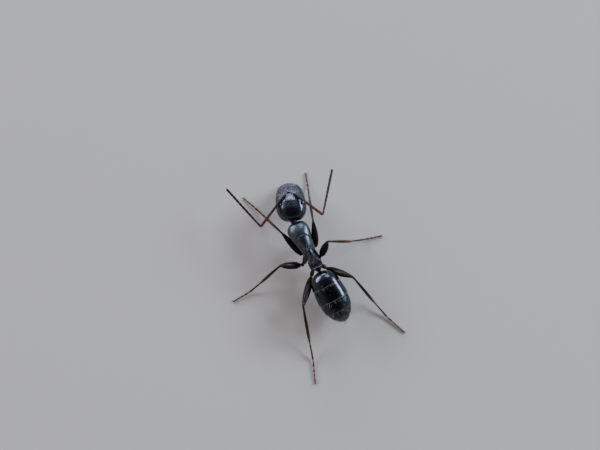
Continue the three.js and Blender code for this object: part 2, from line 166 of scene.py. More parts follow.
def chitin(name, dark, warm, roughness, cell_mm, depth_um, coat=0.0, wear=0.06, gleam=0.5):
    """Insect cuticle: a hard dark shell, its colour warmer where it is thin, and rougher where it
    is dull. The attributes thin and dull say where, 0 to 1, and the surface is a net of cells of
    the given size and depth, with leathery waves and round pits where it is dull."""
    material = bpy.data.materials.new(name)
    material.use_nodes = True
    tree = material.node_tree
    shader = tree.nodes["Principled BSDF"]
    where = add(tree, "ShaderNodeTexCoord").outputs["Object"]
    thin = add(tree, "ShaderNodeAttribute", attribute_name="thin").outputs["Fac"]
    mottle = add(tree, "ShaderNodeTexNoise", {"Vector": where}, Scale=1 / (0.25 * MM), Detail=4)
    varied = add(
        tree,
        "ShaderNodeMath",
        {0: mottle.outputs["Fac"], 2: thin},
        operation="MULTIPLY_ADD",
        use_clamp=True,
    )
    varied.inputs[1].default_value = wear
    colour = add(tree, "ShaderNodeValToRGB", {"Fac": varied.outputs[0]})
    stops = colour.color_ramp.elements
    stops[0].color = linear(dark)
    stops[1].color = linear(warm)
    tree.links.new(colour.outputs["Color"], shader.inputs["Base Color"])
    cells = add(
        tree, "ShaderNodeTexVoronoi", {"Vector": where}, feature="SMOOTH_F1", Scale=1 / (cell_mm * MM)
    )
    cells.inputs["Smoothness"].default_value = 0.6
    relief = add(
        tree, "ShaderNodeBump", {"Height": cells.outputs["Distance"]}, Distance=depth_um * 1e-6
    )
    dull = add(tree, "ShaderNodeAttribute", attribute_name="dull").outputs["Fac"]
    pits = add(tree, "ShaderNodeTexVoronoi", {"Vector": where}, Scale=1 / (3 * cell_mm * MM))
    dimples = add(
        tree,
        "ShaderNodeMapRange",
        {"Value": pits.outputs["Distance"]},
        interpolation_type="SMOOTHSTEP",
        From_Max=0.45,
    )
    waves = add(tree, "ShaderNodeTexNoise", {"Vector": where}, Scale=1 / (3.5 * cell_mm * MM), Detail=1)
    leather = add(
        tree,
        "ShaderNodeMath",
        {0: waves.outputs["Fac"], 2: dimples.outputs["Result"]},
        operation="MULTIPLY_ADD",
    )
    leather.inputs[1].default_value = 2.2
    coarse = add(
        tree,
        "ShaderNodeBump",
        {"Height": leather.outputs[0], "Strength": dull, "Normal": relief.outputs["Normal"]},
        Distance=8 * depth_um * 1e-6,
    )
    tree.links.new(coarse.outputs["Normal"], shader.inputs["Normal"])
    patchy = add(
        tree,
        "ShaderNodeMapRange",
        {"Value": mottle.outputs["Fac"]},
        To_Min=roughness * 0.85,
        To_Max=roughness * 1.2,
    )
    rough = add(
        tree,
        "ShaderNodeMath",
        {0: dull, 2: patchy.outputs["Result"]},
        operation="MULTIPLY_ADD",
        use_clamp=True,
    )
    rough.inputs[1].default_value = 0.04
    tree.links.new(rough.outputs[0], shader.inputs["Roughness"])
    shader.inputs["IOR"].default_value = 1.56
    shader.inputs["Specular IOR Level"].default_value = gleam
    shader.inputs["Coat Weight"].default_value = coat
    shader.inputs["Coat Roughness"].default_value = 0.08
    return material


# Finely netted, satin cuticle, black with a grey bloom: cells about 0.03 mm across. Its black is tinted a
# little blue, a painted sheen of the cool light.
satin_black = chitin("satin_chitin", "#0a0c13", "#4a2a1c", 0.34, 0.035, 3.0, wear=0.02, gleam=0.95)
# The same net on propodeum, petiole and coxae, a little smoother. Its blacker colour and weaker shine are
# painted shade: the cuticle there is the same as the trunk's, but these parts lie in shade behind and under
# it.
waist_black_painted_shade = chitin("waist_chitin_painted_shade", "#08090d", "#4a2a1c", 0.29, 0.035, 3.0, wear=0.02, gleam=0.66)
# Soft skin between plates: dull, dark brown where it is folded away and tan where it is stretched.
soft_skin = chitin("joint_membrane", "#110c0a", "#8a6038", 0.6, 0.03, 2.0, wear=0.02)

# Distance ahead, half width, top, bottom, how much the flanks lean in above, and place aside.
TRUNK = (
    (-1.53, 0.1, 1.42, 1.24, 0.0, 0.0),
    (-1.5, 0.24, 1.56, 1.12, 0.1, 0.0),
    (-1.4, 0.33, 1.72, 1.04, 0.25, 0.0),
    (-1.2, 0.4, 1.9, 1.0, 0.42, 0.0),
    (-0.85, 0.44, 2.03, 0.97, 0.42, -0.01),
    (-0.5, 0.49, 2.1, 0.94, 0.3, -0.03),
    (-0.2, 0.55, 2.17, 0.93, 0.12, -0.05),
    (0.2, 0.65, 2.22, 0.94, 0.04, -0.08),
    (0.6, 0.75, 2.2, 0.98, 0.0, -0.09),
    (0.95, 0.78, 2.12, 1.06, 0.0, -0.1),
    (1.25, 0.71, 1.99, 1.18, 0.0, -0.1),
    (1.44, 0.56, 1.86, 1.28, 0.0, -0.1),
    (1.55, 0.34, 1.73, 1.38, 0.0, -0.1),
    (1.58, 0.12, 1.62, 1.48, 0.0, -0.1),
)
TRUNK_FRONT = TRUNK[-1][0]
# Where each seam runs, by the turn from the top of the trunk (0) round the side to its foot.
PRONOTUM_SEAM = (
    (0, 0.63),
    (25, 0.56),
    (50, 0.3),
    (72, 0.0),
    (92, -0.1),
    (115, 0.16),
    (145, 0.62),
    (180, 0.8),
)
PROPODEUM_SEAM = ((0, -0.52), (40, -0.6), (75, -0.74), (100, -0.72), (140, -0.5), (180, -0.42))


def trunk_skin(y, turn, inset=0.0):
    """The trunk's surface at a distance ahead and a turn, sunk in by inset."""
    half, top, bottom, lean, aside = eased(TRUNK, y)
    up = math.sin(turn)
    widest = 0.46  # how far up the trunk is widest, as a share of its height
    middle = bottom + (top - bottom) * widest
    z = middle + up * ((top - middle) if up > 0 else (middle - bottom))
    narrow = 1 - lean * max(up, 0) ** 1.5 * 0.75
    x = half * math.cos(turn) * narrow
    # the metapleural bulge low on the rear flank, and the furrow above it
    swell = 0.05 * ridge(y, -1.12, 0.3) * ridge(z, 1.16, 0.16)
    swell -= 0.035 * ridge(z, 1.4, 0.06) * ridge(y, -1.0, 0.5)
    # the waist of the middle plate, just before the propodeum
    swell -= 0.03 * ridge(y, -0.52, 0.14) * max(up, 0)
    # the slanting furrow that parts the upper and lower mesopleuron
    flank = abs(math.cos(turn)) ** 2
    swell -= 0.03 * ridge(z - 0.25 * y, 1.5, 0.05) * ramp(y, -0.7, -0.5) * (1 - ramp(y, 0.1, 0.3)) * flank
    # the breathing hole on each side of the propodeum, a small pit with a raised rim
    hole = math.hypot(y + 1.05, 1.4 * (z - 1.58)) + (0 if flank > 0.1 else 1)
    swell += 0.014 * ridge(hole, 0.065, 0.03) - 0.03 * (1 - ramp(hole, 0.02, 0.05))
    across = Vector((x, 0, z - middle))
    if across.length > 1e-6:
        across *= max(0.05, 1 + (swell - inset) / across.length)
    return Vector((aside + across.x, y, across.z + middle))


def from_top(turn):
    """The turn from the top, 0 to 180 degrees, the same on both sides."""
    return math.degrees(abs(math.atan2(math.cos(turn), math.sin(turn))))


def plate(skin, rear, front, lip, flare=0.0, brow=0.0):
    """A plate of a skin between two seams: place() for wrapped(), with edges rolled in by lip.
    A flared plate stands up from the skin towards its rear edge, over the next one, and a brow
    is a low ridge along its front edge."""

    cap = 0.05  # the share at each end that closes the plate inside the body
    crowded = 0.7  # how much the points crowd towards the two edges

    def place(along, turn):
        back, ahead = rear(turn), front(turn)
        share = min(max((along - cap) / (1 - 2 * cap), 0), 1)
        share = share - math.sin(2 * math.pi * share) / (2 * math.pi) * crowded
        y = back + (ahead - back) * share
        edge = max(0.0, 1 - min(y - back, ahead - y) / lip)
        inset = lip * (1 - math.sqrt(max(0, 1 - edge * edge))) - flare * (1 - share) ** 2
        inset -= brow * ridge(ahead - y, lip, lip)
        point = skin(y, turn, inset)
        if along < cap or along > 1 - cap:
            inner = (along if along < cap else 1 - along) / cap
            axis = skin(y, math.pi / 2, 0).lerp(skin(y, -math.pi / 2, 0), 0.54)
            point = axis.lerp(point, 0.15 + 0.85 * inner) if inner > 0.01 else axis
            point.y += (lip if along < cap else -lip) * (1 - inner) * 0.5
        return point

    return place


SEAM = 0.009  # half the width of a seam, mm
trunk_plates = {
    "pronotum": (
        lambda t: eased(PRONOTUM_SEAM, from_top(t))[0] + SEAM,
        lambda t: TRUNK_FRONT,
    ),
    "mesonotum": (
        lambda t: eased(PROPODEUM_SEAM, from_top(t))[0] + SEAM,
        lambda t: eased(PRONOTUM_SEAM, from_top(t))[0] - SEAM,
    ),
    "propodeum": (
        lambda t: -1.53,
        lambda t: eased(PROPODEUM_SEAM, from_top(t))[0] - SEAM,
    ),
}
trunk_skins = {}
for name, (rear, front) in trunk_plates.items():
    bm = body_form()
    brow = 0.03 if name == "mesonotum" else 0
    trunk_skins[name] = plate(trunk_skin, rear, front, lip=0.045, brow=brow)
    wrapped(bm, 128, 88, trunk_skins[name])
    # The propodeum takes the blacker waist chitin, which is painted shade.
    black = waist_black_painted_shade if name == "propodeum" else satin_black
    finished(name, bm, black, [name])

bm = body_form()
wrapped(bm, 64, 48, lambda along, turn: trunk_skin(1.5 - 2.98 * along, turn, 0.03), 0.15)
finished("trunk_membrane", bm, soft_skin, [])

# ---- Hair of the trunk ----
# Stiff pale bristles stand thinly on the plates, most of them at the fore end and round the rear
# edge of the propodeum. Each is a curved spine that leans backwards out of a pore.
PATCH = 0.003  # how wide each hair's patch is on the bake map


def groomed(hairs):
    """One form of many hairs: for each a small globe, drawn out to a curved taper. A hair is its
    root, how it leaves it, how its tip bends off, its length and thickness, and its root's place
    on an unwrap of the skin."""
    bm = bmesh.new()
    bm.loops.layers.uv.new("OFBake")
    bm.verts.layers.float.new("tip")
    bmesh.ops.create_uvsphere(bm, u_segments=4, v_segments=5, radius=1)
    globe = bpy.data.meshes.new("globe")
    bm.to_mesh(globe)
    bm.clear()
    for hair in hairs:
        bm.from_mesh(globe)
    tip = bm.verts.layers.float["tip"]
    bake = bm.loops.layers.uv["OFBake"]
    points, faces = list(bm.verts), list(bm.faces)
    for number, (root, way, bend, length, thick, spot) in enumerate(hairs):
        side = way.orthogonal().normalized()
        other = way.cross(side)
        patch = {}
        for v in points[number * len(globe.vertices) : (number + 1) * len(globe.vertices)]:
            share = (1 - v.co.z) / 2
            across = (side * v.co.x + other * v.co.y) * thick * (1 - 0.75 * share)
            patch[v] = spot + Vector((share, math.atan2(v.co.y, v.co.x) / math.tau + 0.5)) * PATCH
            v[tip] = share
            v.co = root + (way * share + bend * share * share) * length + across
        for face in faces[number * len(globe.polygons) : (number + 1) * len(globe.polygons)]:
            for loop in face.loops:
                loop[bake].uv = patch[loop.vert]
    bpy.data.meshes.remove(globe)
    return bm


def planted(skin, spots, lengths, thick, stand, rear, luck, strip=(0, 1)):
    """A hair at each (along, turn) of a skin. stand is 1 for upright hairs and 0 for hairs that
    lie flat. rear is 1 where the skin's far end is the one they lean to, or -1. strip is the part
    of the bake map that the skin takes up."""
    hairs = []
    for along, turn in spots:
        here = skin(along, turn)
        on = skin(along + 0.004, turn) - skin(along - 0.004, turn)
        out = on.cross(skin(along, turn + 0.02) - skin(along, turn - 0.02)).normalized()
        if out.dot(here - skin(along, turn + math.pi)) < 0:
            out = -out
        on = on.normalized() * rear
        astray = on.cross(out) * luck.uniform(-0.3, 0.3)
        way = (out * stand + on * (1 - stand) + astray).normalized()
        bend = (on * 0.3 * stand - out * 0.12) * luck.uniform(0.5, 1.2)
        spot = Vector(((turn / math.tau + 0.5) % 1, strip[0] + (strip[1] - strip[0]) * along))
        hairs.append((here - out * thick, way, bend, luck.uniform(*lengths), thick, spot))
    return hairs


def strewn(count, luck, alongs=(0.1, 0.9), turns=(0, 360)):
    """Random spots between two shares of a skin's length and two turns in degrees."""
    return [
        (luck.uniform(*alongs), math.radians(luck.uniform(*turns))) for number in range(count)
    ]


def fringe(count, luck, along, turns):
    """Evenly spaced spots round a skin from one turn to another in degrees, a little uneven."""
    first, last = turns
    step = (last - first) / count
    return [
        (along + luck.uniform(-0.01, 0.01), math.radians(first + step * (n + luck.uniform(0.2, 0.8))))
        for n in range(count)
    ]


# Seta: a solid bristle of unblackened chitin, horn-brown at its root and straw-pale at its tip.
pale_seta = bpy.data.materials.new("pale_seta")
pale_seta.use_nodes = True
tree = pale_seta.node_tree
shader = tree.nodes["Principled BSDF"]
near_tip = add(tree, "ShaderNodeAttribute", attribute_name="tip").outputs["Fac"]
straw = add(tree, "ShaderNodeValToRGB", {"Fac": near_tip})
straw.color_ramp.elements[0].color = linear("#4c3e2e")
straw.color_ramp.elements[1].color = linear("#c6b99d")
straw.color_ramp.elements[1].position = 0.8
tree.links.new(straw.outputs["Color"], shader.inputs["Base Color"])
shader.inputs["Roughness"].default_value = 0.36
shader.inputs["IOR"].default_value = 1.56

luck = random.Random(11)
coat = []
for plate_name, count, alongs, turns in (
    ("pronotum", 16, (0.25, 0.9), (30, 150)),
    ("mesonotum", 12, (0.15, 0.85), (50, 130)),
    ("propodeum", 10, (0.3, 0.9), (55, 125)),
    ("propodeum", 16, (0.12, 0.3), (20, 160)),
):
    spots = strewn(count, luck, alongs, turns)
    coat += planted(trunk_skins[plate_name], spots, (0.14, 0.27), 0.009, 0.8, -1, luck)
finished("trunk_hair", groomed(coat), pale_seta, [])


# ---- Head ----
# One capsule of chitin, cut away in front for the jaws: a glossy domed crown, a duller face with
# two S-shaped ridges that shelter the feeler sockets, and no seam between cheek and crown.
HEAD_AT = (
    Matrix.Translation(TRUNK_AT + Vector((-0.15, 1.7, 1.7)))
    @ Matrix.Rotation(math.radians(-17), 4, "Z")
    @ Matrix.Rotation(math.radians(-22), 4, "X")
)
HEAD = (  # distance ahead of the nape, half width, top, underside
    (0.0, 0.16, 0.2, -0.06),
    (0.03, 0.4, 0.36, -0.2),
    (0.1, 0.6, 0.48, -0.33),
    (0.25, 0.78, 0.6, -0.47),
    (0.5, 0.94, 0.71, -0.59),
    (0.85, 1.04, 0.77, -0.67),
    (1.25, 1.07, 0.76, -0.69),
    (1.65, 1.04, 0.67, -0.66),
    (2.05, 0.97, 0.52, -0.56),
    (2.38, 0.87, 0.36, -0.42),
    (2.58, 0.74, 0.23, -0.28),
    (2.69, 0.55, 0.12, -0.18),
    (2.72, 0.33, 0.06, -0.1),
)
HEAD_LENGTH = HEAD[-1][0]
SOCKET = Vector((0.34, 1.73))  # of a feeler, from the midline and ahead of the nape
# Place, lean in degrees and size of an eye.
EYE = {"side": 0.86, "ahead": 1.17, "lean": 47, "length": 0.54, "width": 0.43, "bulge": 0.13}
# How far from the midline the ridge beside each feeler runs, by the distance ahead.
FRONTAL_RIDGE = ((1.19, 0.3), (1.42, 0.31), (1.67, 0.24), (1.87, 0.185), (2.03, 0.16))


def shield(x, y):
    """Under 1 inside the clypeus, the shield between the feelers and the jaws."""
    return (abs(x) / (0.3 + 0.16 * ramp(y, 1.97, 2.47))) ** 4 + (abs(y - 2.31) / 0.36) ** 4


def head_skin(y, turn, inset=0.0):
    """The head's surface at a distance ahead of the nape and a turn, sunk in by inset."""
    half, top, bottom = eased(HEAD, y)
    middle = (top + bottom) / 2
    right, up = math.cos(turn), math.sin(turn)
    x = half * math.copysign(abs(right) ** 0.92, right)
    z = middle + (top - bottom) / 2 * math.copysign(abs(up) ** 0.92, up)
    rise = -inset
    if up > 0:
        side = abs(x)
        form = shield(x, y)
        rise += 0.045 * (1 - ramp(form, 0.3, 1.0)) - 0.018 * ridge(form, 1.05, 0.35)
        rise += 0.022 * ridge(x, 0, 0.06) * (1 - ramp(form, 0.4, 0.9))  # its keel
        line = eased(FRONTAL_RIDGE, y)[0]
        runs = ramp(y, 1.17, 1.37) * (1 - ramp(y, 1.95, 2.05))
        rise += 0.06 * ridge(side, line, 0.05) * runs
        rise -= 0.03 * ridge(side, line + 0.09, 0.1) * ramp(y, 1.47, 1.62) * (1 - ramp(y, 1.87, 2.02))
        rise -= 0.012 * ridge(x, 0, 0.018) * ramp(y, 1.27, 1.37) * (1 - ramp(y, 1.93, 1.97))
        away = math.hypot(side - SOCKET.x, y - SOCKET.y)
        rise += 0.02 * ridge(away, 0.115, 0.035) - 0.06 * (1 - ramp(away, 0.05, 0.1))
        # a narrow moat where the eye is let into the cheek
        across = EYE["width"] / 2 * math.cos(math.radians(EYE["lean"]))
        oval = math.hypot((side - EYE["side"]) / across, (y - EYE["ahead"]) / (EYE["length"] / 2))
        rise -= 0.016 * ridge(oval, 1.08, 0.14)
    else:
        rise -= 0.03 * ridge(x, 0, 0.05) * ramp(y, 0.3, 0.6) * (1 - ramp(y, 1.6, 1.9))
        rise -= 0.14 * ramp(y, 1.75, 2.1) * (1 - ramp(abs(x), 0.2, 0.36)) * abs(up)
    out = Vector((x / max(half, 0.05) ** 2, 0, (z - middle) / max((top - bottom) / 2, 0.05) ** 2))
    out = out.normalized() if out.length > 1e-6 else Vector((0, 0, 1))
    return Vector((x, y, z)) + out * rise


def head_place(along, turn):
    """place() for wrapped(): the head from its front to its nape, closed over the two ends."""
    crowded = 0.34  # mm by which the points crowd towards the middle
    cap = 0.03  # the share at each end that closes the head
    y = HEAD_LENGTH * (1 - along) - crowded * math.sin(2 * math.pi * along) / (2 * math.pi)
    point = head_skin(y, turn)
    if along < cap or along > 1 - cap:
        inner = (along if along < cap else 1 - along) / cap
        point = Vector((0, y, 0.02)).lerp(point, inner)
    return point


# The crown is smooth and glossy; towards the jaws the cuticle grows coarse and grey.
head_black = chitin("head_chitin", "#07090c", "#4a2a1c", 0.22, 0.03, 2.0, wear=0.02, gleam=0.62)
bm = body_form()
wrapped(bm, 224, 176, head_place, 0.0, lambda along, turn: 1 - ramp(along, 0.34, 0.5))
finished("head", bm, head_black, ["head", "clypeus"], HEAD_AT)

# ---- Eyes ----
# A compound eye is a low oval dome of several hundred six-sided lenses, each about 0.02 mm
# across. It is brown-black, and its cornea shines more than the head round it.
eye_lenses = chitin("eye_cornea", "#0f0c0b", "#2b1c16", 0.2, 0.024, 5.0, coat=0.4, wear=0.3)


def rounded(middle, reach):
    """place() for wrapped(): an oval body with its poles up and down."""

    def place(along, turn):
        low = math.pi * along
        ball = (math.sin(low) * math.cos(turn), math.sin(low) * math.sin(turn), math.cos(low))
        return Vector([m + r * b for m, r, b in zip(middle, reach, ball)])

    return place


for side, name in ((-1, "eye_left"), (1, "eye_right")):
    bm = body_form()
    wrapped(bm, 64, 40, rounded((0, 0, 0), (EYE["width"] / 2, EYE["length"] / 2, EYE["bulge"])), 0.1)
    turn = math.acos(EYE["side"] / eased(HEAD, EYE["ahead"])[0])
    seat = head_skin(EYE["ahead"], turn, 0.03)
    at = HEAD_AT @ Matrix.Translation((side * seat.x, seat.y, seat.z))
    at = at @ Matrix.Rotation(side * math.radians(EYE["lean"]), 4, "Y")
    finished(name, bm, eye_lenses, [name], at)

# ---- Jaws ----
# Each mandible is a curved, three-cornered blade with five teeth on its inner edge. The two
# close across each other under the clypeus. They are black-brown and redden at the teeth.
jaw_brown = chitin("jaw_chitin", "#0e0b0b", "#4e2a1c", 0.38, 0.05, 3.0)
# The two edges of a jaw: share of its length, place aside and distance ahead.
JAW_OUTER = ((0, 0.2, -0.12), (0.2, 0.26, 0.12), (0.45, 0.16, 0.4), (0.72, -0.1, 0.66), (1, -0.46, 0.86))
JAW_INNER = ((0, -0.1, -0.12), (0.2, -0.24, 0.02), (0.36, -0.46, 0.2), (0.7, -0.53, 0.52), (1, -0.57, 0.84))
TEETH = 5
jaw_skins = []
for side, name in ((-1, "mandible_left"), (1, "mandible_right")):

    def jaw_place(along, turn, side=side):
        outer, inner = Vector(eased(JAW_OUTER, along)), Vector(eased(JAW_INNER, along))
        bite = (along - 0.36) / 0.64 * TEETH
        if bite > 0:
            notch = abs(((bite + 0.5) % 1) * 2 - 1) * min(1, bite)
            inner.x += 0.09 * notch * max(0, -math.cos(turn)) ** 4
        wide = math.cos(turn) * 0.5
        round_end = min(1, math.sqrt(max(0, 1 - max(0, 1 - along / 0.12) ** 2)))
        x, y = (outer + inner) / 2 + (outer - inner) * wide * round_end
        deep = (0.17 - 0.1 * along) * round_end * (1 - ramp(along, 0.94, 1.0))
        z = deep * math.sin(turn) * (0.62 + 0.38 * math.cos(turn)) - 0.12 * along * along
        return Vector((side * x, y, z))

    bm = body_form()
    wrapped(bm, 40, 96, jaw_place, lambda along, turn: 0.45 * ramp(along, 0.5, 1.0), 0.5)
    at = HEAD_AT @ Matrix.Translation((side * 0.58, 2.4, -0.185 - 0.025 * side))
    at = at @ Matrix.Rotation(math.radians(-14), 4, "X")
    at = at @ Matrix.Rotation(side * math.radians(9), 4, "Z")
    finished(name, bm, jaw_brown, [name], at)
    jaw_skins.append((jaw_place, at))


# ---- Mouthparts ----
# Behind the jaws lie the upper lip and the folded maxillae, brown plates in a hollow under the
# head, with two pairs of thin jointed palps that hang from them.
def limb(bm, start, end, girth, thin=0.0, segments=20, rings=28, bow=0.0):
    """A round-ended rod between two points, which gives back its skin. girth is a table of share
    and radius, bow its arch, and thin a number or a table of share and value."""
    start, end, girth = Vector(start), Vector(end), tuple(girth)
    ahead = (end - start).normalized()
    side = ahead.cross(Vector((0, 0, 1)))
    side = side.normalized() if side.length > 1e-3 else Vector((1, 0, 0))
    top = side.cross(ahead)
    length = (end - start).length

    def place(along, turn):
        share = 0.5 - 0.5 * math.cos(math.pi * along)
        thick = eased(girth, share)[0]
        end_gap = min(share, 1 - share) * length
        round_off = max(0, 1 - end_gap / (thick * 0.8))
        thick *= math.sqrt(max(0, 1 - round_off * round_off))
        across = (side * math.cos(turn) + top * math.sin(turn)) * thick
        return start + ahead * (share * length) + top * (bow * math.sin(math.pi * share)) + across

    def warmth(along, turn):
        return eased(tuple(thin), 0.5 - 0.5 * math.cos(math.pi * along))[0]

    wrapped(bm, segments, rings, place, warmth if isinstance(thin, list) else thin)
    return place


bm = body_form()
wrapped(bm, 32, 20, rounded((0, 2.18, -0.46), (0.24, 0.36, 0.14)), 0.1)
wrapped(bm, 32, 20, rounded((0, 2.46, -0.35), (0.24, 0.32, 0.13)), 0.15)
for side in (-1, 1):
    limb(bm, (side * 0.13, 1.95, -0.5), (side * 0.1, 2.56, -0.5), [(0, 0.1), (1, 0.06)], 0.2)
    for root, steps, joints, thick in (
        ((side * 0.2, 2.3, -0.52), Vector((side * 0.06, -0.2, -0.09)), 6, 0.022),
        ((side * 0.07, 2.42, -0.56), Vector((side * 0.02, -0.11, -0.08)), 4, 0.018),
    ):
        point = Vector(root)
        for joint in range(joints):
            step = steps * (1.15 - 0.08 * joint) + Vector((0, 0, 0.02 * joint))
            limb(bm, point, point + step, [(0, thick * 0.8), (1, thick * 1.15)], 0.75, 10, 10)
            point = point + step
finished("mouthparts", bm, jaw_brown, ["mouthparts"], HEAD_AT)

# ---- Neck ----
# A short collar of brown skin over the black stalk on which the head turns.
bm = body_form()
collar = [(fold / 8, 0.23 + 0.012 * (-1) ** fold) for fold in range(9)]
limb(bm, (-0.1, 1.36, 1.54), (-0.14, 1.92, 1.66), collar, 0.03, 40, 60)
finished("neck", bm, soft_skin, ["neck"])

# ---- Hair of the head ----
# Short bristles all over the face, a few long ones on the crown and under the head, and a fringe
# over the jaws along the front of the clypeus. They lean forwards, as an ant feels ahead.
luck = random.Random(23)
coat = []
for count, alongs, turns, lengths, thick, stand in (
    (150, (0.07, 0.34), (5, 175), (0.05, 0.1), 0.0045, 0.45),
    (26, (0.1, 0.34), (25, 155), (0.13, 0.22), 0.008, 0.8),
    (12, (0.45, 0.78), (55, 125), (0.15, 0.25), 0.008, 0.85),
    (26, (0.2, 0.75), (200, 340), (0.1, 0.2), 0.0075, 0.75),
):
    coat += planted(head_place, strewn(count, luck, alongs, turns), lengths, thick, stand, -1, luck)
coat += planted(head_place, fringe(14, luck, 0.075, (46, 134)), (0.14, 0.28), 0.008, 0.3, -1, luck)
finished("head_hair", groomed(coat), pale_seta, [], HEAD_AT)
for (skin, at), name in zip(jaw_skins, ("mandible_left_hair", "mandible_right_hair")):
    coat = planted(skin, strewn(22, luck, (0.15, 0.8), (20, 150)), (0.06, 0.13), 0.006, 0.5, 1, luck)
    finished(name, groomed(coat), pale_seta, [], at)

# ---- Petiole ----
# The waist is one small ring with an upright scale: flat behind, bulging in front, and rounded
# along its top. A short stalk joins it to the trunk and to the gaster.
PETIOLE = (  # distance ahead, half width, top, bottom
    (-2.26, 0.12, 1.34, 1.14),
    (-2.16, 0.19, 1.4, 1.02),
    (-2.07, 0.29, 1.6, 0.96),
    (-2.01, 0.33, 1.76, 0.94),
    (-1.94, 0.35, 1.845, 0.93),
    (-1.88, 0.34, 1.83, 0.93),
    (-1.8, 0.3, 1.66, 0.95),
    (-1.7, 0.24, 1.48, 0.99),
    (-1.6, 0.2, 1.4, 1.05),
    (-1.5, 0.12, 1.34, 1.14),
)
PETIOLE_LENGTH = PETIOLE[-1][0] - PETIOLE[0][0]


def petiole_place(along, turn):
    """place() for wrapped(): the petiole from its fore end to its rear, with rounded ends."""
    crowded = 0.6  # how much the points crowd towards the ends
    cap = 0.08  # the share at each end that is rounded off
    share = along - crowded * math.sin(2 * math.pi * along) / (2 * math.pi)
    y = PETIOLE[-1][0] - PETIOLE_LENGTH * share
    half, top, bottom = eased(PETIOLE, y)
    close = 0
    if 0 < along < 1:
        close = math.sqrt(math.sin(math.pi * min(along, cap, 1 - along) / (2 * cap)))
    up = math.sin(turn)
    z = (top + bottom) / 2 + up * (top - bottom) / 2 * max(close, 1e-3)
    x = half * math.copysign(abs(math.cos(turn)) ** 0.8, math.cos(turn)) * (1 - 0.2 * max(up, 0) ** 2)
    return Vector((0.02 + x * max(close, 1e-3), y, z))


bm = body_form()
wrapped(bm, 72, 72, petiole_place)
# The petiole takes the blacker waist chitin, which is painted shade.
finished("petiole", bm, waist_black_painted_shade, ["petiole"])
luck = random.Random(31)
coat = planted(petiole_place, fringe(12, luck, 0.52, (35, 145)), (0.14, 0.24), 0.008, 0.85, 1, luck)
finished("petiole_hair", groomed(coat), pale_seta, [])

# ---- Gaster ----
# Five rings of very glossy black chitin. Each ring's rear edge lies over the next one's front,
# and ends in a pale, horn-thin rim. Below a seam along each flank the rings' belly plates begin.
GASTER_AT = (
    Matrix.Translation(TRUNK_AT + Vector((-0.01, -2.26, 1.38)))
    @ Matrix.Rotation(math.radians(3), 4, "Z")
    @ Matrix.Rotation(math.radians(5), 4, "X")
)
GASTER = (  # distance ahead, half width, top, underside
    (-3.92, 0.08, 0.07, -0.08),
    (-3.86, 0.27, 0.2, -0.22),
    (-3.68, 0.5, 0.39, -0.4),
    (-3.2, 0.84, 0.67, -0.6),
    (-2.6, 1.04, 0.81, -0.75),
    (-1.9, 1.1, 0.87, -0.83),
    (-1.2, 1.05, 0.85, -0.82),
    (-0.65, 0.93, 0.73, -0.71),
    (-0.28, 0.7, 0.5, -0.48),
    (-0.1, 0.42, 0.28, -0.28),
    (-0.02, 0.16, 0.12, -0.12),
)
RING_EDGES = [0.0, -1.05, -2.16, -2.98, -3.5, -3.93]
BELLY_SEAM = 117  # degrees from the top
# For each ring, how pale its rim is, how dull its skin, and how many fine hairs lie flat on it.
RIM_PALENESS = [0.6, 0.7, 0.3, 0.15, 0.05]
RING_DULLNESS = [0.06, 0.14, 0.35, 0.5, 0.5]
FLAT_HAIRS = [90, 110, 70, 50, 20]


def gaster_skin(y, turn, inset=0.0):
    """The gaster's surface at a distance ahead and a turn, sunk in by inset."""
    half, top, bottom = eased(GASTER, y)
    right, up = math.cos(turn), math.sin(turn)
    inset += 0.028 * ramp(from_top(turn), BELLY_SEAM - 2, BELLY_SEAM + 2)
    x, z = half * right, (top + bottom) / 2 + (top - bottom) / 2 * up
    out = Vector((right / max(half, 0.05), 0, 2 * up / max(top - bottom, 0.1)))
    return Vector((x, y, z)) - out.normalized() * min(inset, half * 0.9)


def ring_edge(number, turn):
    """Where a ring's rear edge runs: bowed a little backwards over the back."""
    bow = 0.05 * math.sin(turn) if 0 < number < 5 else 0
    return RING_EDGES[number] - bow


def ring_skin(number):
    """A ring's skin. All but the first begin under the ring before, and all but the last flare."""
    lap = 0.14 if number > 1 else 0
    return plate(
        gaster_skin,
        lambda turn: ring_edge(number, turn),
        lambda turn: ring_edge(number - 1, turn) + lap,
        lip=0.022,
        flare=0.03 if number < 5 else 0,
    )


glossy_black = chitin(
    "gaster_chitin", "#060709", "#9a958c", 0.17, 0.05, 1.8, coat=0.12, wear=0.0, gleam=0.42
)
for number in range(1, 6):
    skin = ring_skin(number)

    def rim(along, turn):
        """Pale over the last few hundredths of a millimetre of the ring, less on later rings."""
        back = skin(along, turn).y - ring_edge(number, turn)
        return (1 - ramp(back, 0.01, 0.04)) * RIM_PALENESS[number - 1]

    name = f"gaster_ring_{number}"
    bm = body_form()
    wrapped(bm, 160, 72, skin, rim, RING_DULLNESS[number - 1])
    finished(name, bm, glossy_black, [name], GASTER_AT)

# ---- Hair of the gaster ----
# A row of long bristles leans back over the next ring from each ring's rear edge. Between the
# rows stand shorter ones, thickest at the tip, and fine hairs lie flat on the glossy cuticle.
luck = random.Random(47)
coat = []
for number in range(1, 6):
    skin = ring_skin(number)
    row = fringe(26 - 3 * number, luck, 0.16, (-35, 215))
    longer = 1 + 0.12 * number
    coat += planted(skin, row, (0.2 * longer, 0.3 * longer), 0.009, 0.45, -1, luck)
    between = strewn(10 if number < 4 else 16, luck, (0.3, 0.8), (-60, 240))
    coat += planted(skin, between, (0.15 * longer, 0.24 * longer), 0.008, 0.6, -1, luck)
    flat = strewn(FLAT_HAIRS[number - 1], luck, (0.2, 0.84), (-80, 260))
    coat += planted(skin, flat, (0.07, 0.12), 0.0035, 0.12, -1, luck)
finished("gaster_hair", groomed(coat), pale_seta, [], GASTER_AT)

